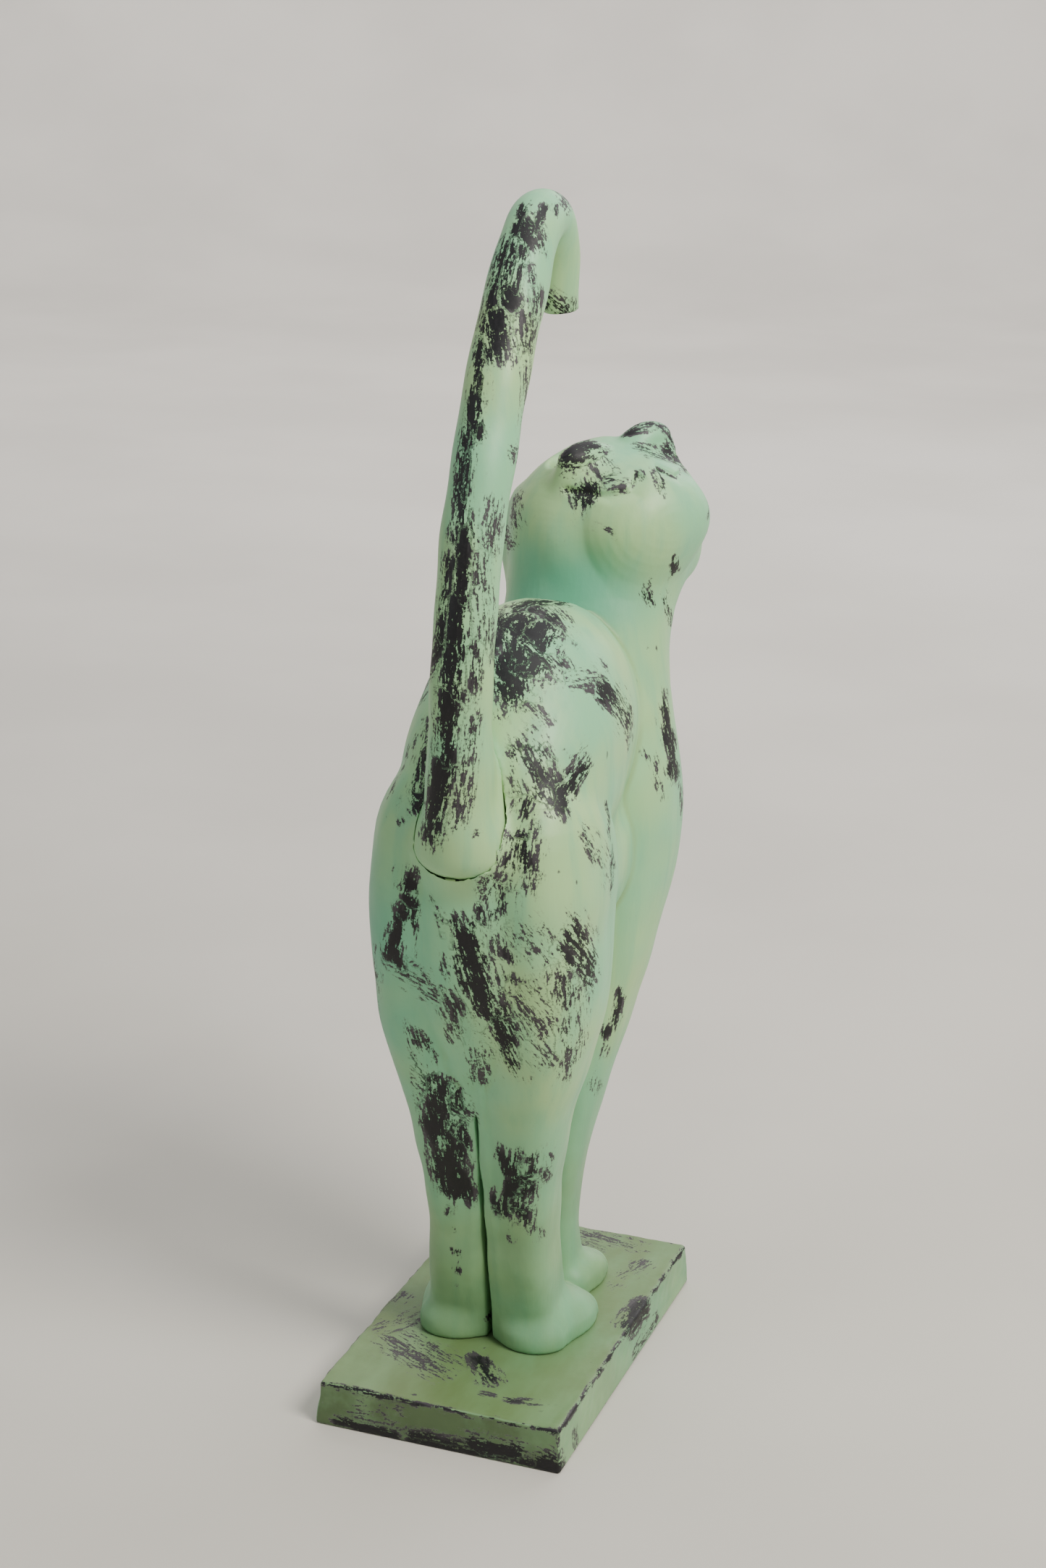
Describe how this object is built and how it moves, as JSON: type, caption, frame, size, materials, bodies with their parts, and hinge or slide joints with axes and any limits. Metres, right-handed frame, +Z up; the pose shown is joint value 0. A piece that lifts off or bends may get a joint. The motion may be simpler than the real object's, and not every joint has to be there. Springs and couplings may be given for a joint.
{
  "type": "standing cat figure",
  "caption": "Carved, painted wooden cat standing on close-set legs on a plank plinth, with an arched back, turned head and upright hooked tail.",
  "frame": {"origin": "centre of the plinth's underside", "axes": "+Z up, the cat faces -Y, +X to the cat's left"},
  "size_m": [0.108, 0.2271, 0.4964],
  "materials": {
    "painted_plank": "satin mint paint rubbed through to a dark undercoat",
    "painted_carving": "satin mint paint rubbed through to a dark undercoat",
    "dowel_wood": "bare turned hardwood",
    "screw_steel": "zinc plated"
  },
  "bodies": {
    "root": {"plinth": "painted_plank", "body": "painted_carving", "head": "painted_carving", "tail": "painted_carving", "neck_dowel": "dowel_wood", "tail_dowel": "dowel_wood", "foot_screws": "screw_steel"}
  },
  "joints": []
}
